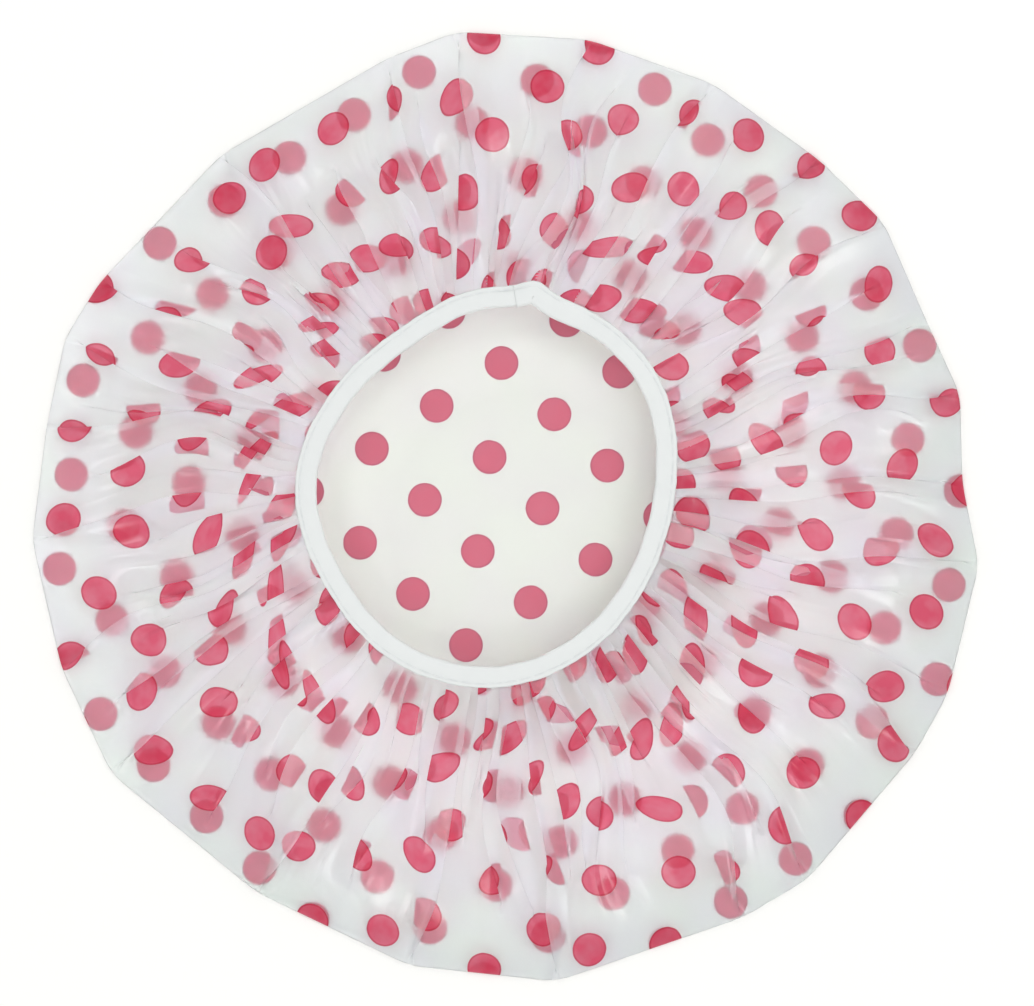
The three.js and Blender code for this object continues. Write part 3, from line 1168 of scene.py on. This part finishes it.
@dataclass
class FoldedTape(RingPiece):
    """The white tape, folded lengthwise over the film's gathered edge, its end lapped over its start."""

    stitches: StitchLine
    # The strip and its fold
    thickness: float = 0.35 * MM
    width: float = 6.25 * MM
    half_height: float = 1.08 * MM
    edge_half_height: float = 0.86 * MM
    fold_radius: float = 0.85 * MM
    fold_inset_share: float = 0.6
    roll: float = 2.8 * MM
    # The lap, and the end of the tape pressed down on it
    lap: float = 11 * MM
    ramp: float = 7 * MM
    clearance: float = 0.1 * MM
    press: float = 0.28 * MM
    press_length: float = 3.5 * MM
    # How the tape wanders along the opening, in waves of these orders round it
    wander: float = 0.12 * MM
    wander_range: tuple[float, float] = (0.4, 1)
    wander_fading: float = 0.4
    wander_orders: tuple[int, ...] = (9, 17, 29, 43, 84)
    edge_orders_above: int = 40
    rise_share: float = 0.4
    seed: int = 11
    # How finely it is made
    sections: int = 720
    leg_points: int = 11
    fold_points: int = 9

    def section(self, inset: float) -> Array:
        """The tape's outline, from one free edge round the fold to the other.

        Args:
            inset: Distance inside the tape's outer face.

        Returns:
            Outward and upward distances.
        """
        edge = self.width / 2
        fold = -edge + inset
        radius = self.fold_radius - inset * self.fold_inset_share
        out = np.linspace(edge, fold + radius, self.leg_points)
        rise = smooth(out, edge, edge - self.roll)
        up = self.edge_half_height + (self.half_height - self.edge_half_height) * rise - inset
        turn = np.linspace(0, math.pi, self.fold_points + 2)[1:-1]
        curve = np.stack(
            [fold + radius - radius * np.sin(turn), (self.half_height - inset) * np.cos(turn)], axis=1
        )
        upper = np.stack([out, up], axis=1)
        lower = upper[::-1] * (1, -1)
        return np.concatenate([upper, curve, lower])

    def build(self) -> bpy.types.Object:
        """Builds the tape as one closed strip.

        Returns:
            The tape.
        """
        plan = self.plan
        radius = float(plan.mouth_radius_at(np.array(plan.lap_angle)))
        lap_turn, ramp_turn = self.lap / radius, self.ramp / radius
        turned = np.linspace(0, TURN + lap_turn, self.sections)
        angles = plan.lap_angle - lap_turn / 2 + turned
        over = (self.thickness + self.clearance) * smooth(turned, TURN - 2 * ramp_turn, TURN - ramp_turn)
        outer, inner = self.section(0.0), self.section(self.thickness)
        outline = np.concatenate([outer, inner[::-1]])
        sections = np.repeat(outline[None], self.sections, axis=0)
        side = np.sign(outline[:, 1])
        sections[..., 1] += over[:, None] * side
        fold_share = smooth(outline[:, 0], -self.width / 2 + self.fold_radius, -self.width / 2)
        sections[..., 0] -= over[:, None] * fold_share
        line = self.width / 2 - self.stitches.inset
        hole = self.stitches.holes(angles - plan.lap_angle, plan.mouth_radius)
        near = np.exp(-(((outline[:, 0] - line) / self.stitches.reach) ** 2))
        skin = np.append(np.ones(len(outer)), np.zeros(len(inner)))
        pressed = smooth(turned, TURN + lap_turn - self.press_length / radius, TURN + lap_turn)
        sections[..., 1] -= self.press * pressed[:, None] * skin * side
        dent = self.stitches.dip + self.stitches.pull * hole[:, None]
        sections[..., 1] -= side * near * dent
        draw = np.random.default_rng(self.seed)
        free_edge = smooth(outline[:, 0], 0, self.width / 2)
        for order in self.wander_orders:
            phase = draw.uniform(0, TURN)
            size = self.wander * draw.uniform(*self.wander_range)
            size *= (self.wander_orders[0] / order) ** self.wander_fading
            wave = np.sin(order * angles + phase)[:, None]
            sections[..., 0] += size * wave * (1 if order < self.edge_orders_above else free_edge)
            sections[..., 1] += self.rise_share * size * np.cos(order * angles + phase)[:, None]
        return self.loft("binding_tape_folded", angles, sections, self.girth(outline), closed=False)


@dataclass
class FlatElastic(RingPiece):
    """The flat elastic inside the tape's fold, its ends meeting under the lap."""

    width: float = 2.7 * MM
    thickness: float = 0.9 * MM
    middle: float = -1.125 * MM
    gap: float = 1 * MM
    ribs: int = 7
    rib_depth: float = 0.06 * MM
    rib_points: int = 4
    rib_roundness: float = 0.7
    edge_thinning: float = 0.5
    edge_roundness: int = 8
    ripple: float = 0.02 * MM
    ripples: int = 90
    sections: int = 420

    def build(self) -> bpy.types.Object:
        """Builds the elastic, with a rib over each rubber core.

        Returns:
            The elastic.
        """
        across = np.linspace(-1, 1, self.ribs * self.rib_points + 1)
        crown = np.abs(np.sin(across * self.ribs * math.pi / 2)) ** self.rib_roundness
        thinned = 1 - self.edge_thinning * across**self.edge_roundness
        half = self.thickness / 2 * thinned - self.rib_depth * (1 - crown)
        upper = np.stack([self.middle - across * self.width / 2, half], axis=1)
        outline = np.concatenate([upper, upper[::-1] * (1, -1)])
        gap_turn = self.gap / self.plan.mouth_radius
        angles = self.plan.lap_angle + np.linspace(gap_turn / 2, TURN - gap_turn / 2, self.sections)
        sections = np.repeat(outline[None], self.sections, axis=0)
        sections[..., 1] += self.ripple * np.sin(angles * self.ripples)[:, None]
        return self.loft("elastic_band_ribbed", angles, sections, self.girth(outline), closed=False)


@dataclass
class SewingThread(RingPiece):
    """One thread of the lockstitch, lying on the tape and dipping into it at each hole."""

    stitches: StitchLine
    tape: FoldedTape
    side: Stitch
    diameter: float = 0.3 * MM
    sink: float = 0.16 * MM
    hole_depth: float = 0.22 * MM
    lap_clearance: float = 0.06 * MM
    lap_start: float = 0.01
    steps: int = 12
    points: int = 8

    def build(self) -> bpy.types.Object:
        """Builds the thread as one ring.

        Returns:
            The thread.
        """
        plan, stitches = self.plan, self.stitches
        count = stitches.count(plan.mouth_radius)
        angles = plan.lap_angle + np.linspace(0, TURN, count * self.steps, endpoint=False)
        hole = stitches.holes(angles - plan.lap_angle, plan.mouth_radius)
        lap_turn = self.tape.lap / plan.mouth_radius
        ramp_turn = self.tape.ramp / plan.mouth_radius
        from_lap = angle_between(angles, plan.lap_angle)
        over = smooth(-from_lap, -lap_turn / 2 - ramp_turn, -lap_turn / 2 + self.lap_start)
        lift = over * (self.tape.thickness + self.tape.clearance + self.lap_clearance)
        line = self.tape.width / 2 - stitches.inset
        rise = self.tape.half_height - stitches.dip + self.diameter / 2 - self.sink
        rise = rise - (stitches.pull + self.hole_depth) * hole + lift
        around = np.arange(self.points) / self.points * TURN
        ring = on_circle(around) * self.diameter / 2
        middles = np.stack([np.full(len(angles), line), rise * self.side.value], axis=1)
        sections = ring[None] + middles[:, None]
        name = "needle_thread_stitches" if self.side is Stitch.UPPER else "bobbin_thread_stitches"
        return self.loft(name, angles, sections, self.girth(ring), closed=True)


@dataclass
class Studio:
    """A pale surface, soft light and a camera straight above."""

    # The picture's size in pixels, a pixel's size on the cap, the cap's middle in it, and the camera
    picture: tuple[float, float] = (1034, 1006)
    pixel: float = 0.2957 * MM
    cap_middle: tuple[float, float] = (505.5, 506.5)
    distance: float = 1.2
    sensor: float = 36
    floor_color: Color = (0.98, 0.98, 0.955, 1)
    floor_side: float = 6
    floor_drop: float = 0.02 * MM
    sky: float = 0.82
    # Lamps: distance, then bearing from +X and tilt from straight above in degrees, side and power
    lamp_distance: float = 1.3
    soft_lamp: tuple[float, float] = (45, 25)
    soft_side: float = 0.8
    soft_power: float = 1.5
    glints: tuple[tuple[int, int], ...] = (
        (10, 38), (80, 32), (130, 40), (195, 34), (250, 42), (300, 36),
    )
    glint_side: float = 0.1
    glint_power: float = 0.55

    def add_floor(self) -> None:
        """Adds the pale surface that the cap lies on."""
        material, graph = new_material("pale surface")
        shader = graph.node("BsdfDiffuse", Color=self.floor_color)
        graph.node("OutputMaterial", Surface=shader.outputs[0])
        bpy.ops.mesh.primitive_plane_add(size=self.floor_side, location=(0, 0, -self.floor_drop))
        floor = bpy.context.object
        floor.name = "floor"
        floor.data.materials.append(material)

    def add_lamp(self, name: str, bearing: float, tilt: float, size: float, energy: float) -> None:
        """Adds a square lamp that faces the cap.

        Args:
            name: The lamp's name.
            bearing: Its direction in plan, in degrees from +X.
            tilt: Its direction from straight above, in degrees.
            size: Its side, in metres.
            energy: Its power, in watts.
        """
        data = bpy.data.lights.new(name, "AREA")
        data.size, data.energy = size, energy
        lamp = bpy.data.objects.new(name, data)
        bpy.context.collection.objects.link(lamp)
        turn, lean = math.radians(bearing), math.radians(tilt)
        way = (math.sin(lean) * math.cos(turn), math.sin(lean) * math.sin(turn), math.cos(lean))
        lamp.location = [self.lamp_distance * part for part in way]
        lamp.rotation_euler = lamp.location.to_track_quat("Z", "Y").to_euler()

    def add_light(self) -> None:
        """Adds an even sky, one large soft lamp at the upper right and small ones for glints."""
        world = bpy.data.worlds.new("studio")
        bpy.context.scene.world = world
        world.use_nodes = True
        background = world.node_tree.nodes["Background"]
        background.inputs["Color"].default_value = (1, 1, 1, 1)
        background.inputs["Strength"].default_value = self.sky
        self.add_lamp("soft lamp", *self.soft_lamp, self.soft_side, self.soft_power)
        for bearing, tilt in self.glints:
            self.add_lamp(f"glint at {bearing}", bearing, tilt, self.glint_side, self.glint_power)

    def add_camera(self) -> None:
        """Adds the camera, straight above, with the picture's frame."""
        data = bpy.data.cameras.new("camera")
        width, height = self.picture
        data.sensor_width = self.sensor
        data.lens = self.sensor * self.distance / (self.pixel * width)
        camera = bpy.data.objects.new("camera", data)
        bpy.context.collection.objects.link(camera)
        across = (width / 2 - self.cap_middle[0]) * self.pixel
        up = (self.cap_middle[1] - height / 2) * self.pixel
        camera.location = (across, up, self.distance)
        bpy.context.scene.camera = camera

    def build(self) -> None:
        """Builds the whole studio."""
        self.add_camera()
        self.add_floor()
        self.add_light()
        scene = bpy.context.scene
        scene.view_settings.view_transform = "Standard"
        # Light crosses many layers of film
        scene.cycles.max_bounces = 24
        scene.cycles.diffuse_bounces = 14
        scene.cycles.glossy_bounces = 8
        scene.cycles.transmission_bounces = 22
        scene.cycles.transparent_max_bounces = 32


def main() -> None:
    """Builds the cap's five pieces, and the studio round them."""
    logging.basicConfig(level=logging.INFO, format="%(message)s")
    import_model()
    Studio().build()
    grain, yarns = fine_grain_group(), yarn_group()
    plan, stitches = CapPlan(), StitchLine()

    tape = FoldedTape(plan, stitches)
    tape_piece = tape.build()
    tape.dress(tape_piece, WHITE_TAPE.material(grain, yarns), "binding_tape", "tape")
    log.info("tape: %d faces", len(tape_piece.data.polygons))

    elastic = FlatElastic(plan)
    elastic_piece = elastic.build()
    elastic.dress(elastic_piece, KNITTED_ELASTIC.material(grain, yarns), "elastic_band", "elastic")
    log.info("elastic: %d faces", len(elastic_piece.data.polygons))

    thread_material = SEWING_THREAD.material(grain, yarns)
    threads = []
    for side, node in ((Stitch.UPPER, "needle_thread"), (Stitch.LOWER, "bobbin_thread")):
        thread = SewingThread(plan, stitches, tape, side)
        threads.append(thread.build())
        thread.dress(threads[-1], thread_material, node, "thread")
        log.info("%s: %d faces", node, len(threads[-1].data.polygons))

    film = PleatedFilm(plan)
    film_piece = film.build()
    film.dress(film_piece, FilmFinish().material(grain), [tape_piece, elastic_piece, *threads])
    log.info("film: %d pleats, %d faces", len(film.place), len(film_piece.data.polygons))


if __name__ == "__main__":
    main()
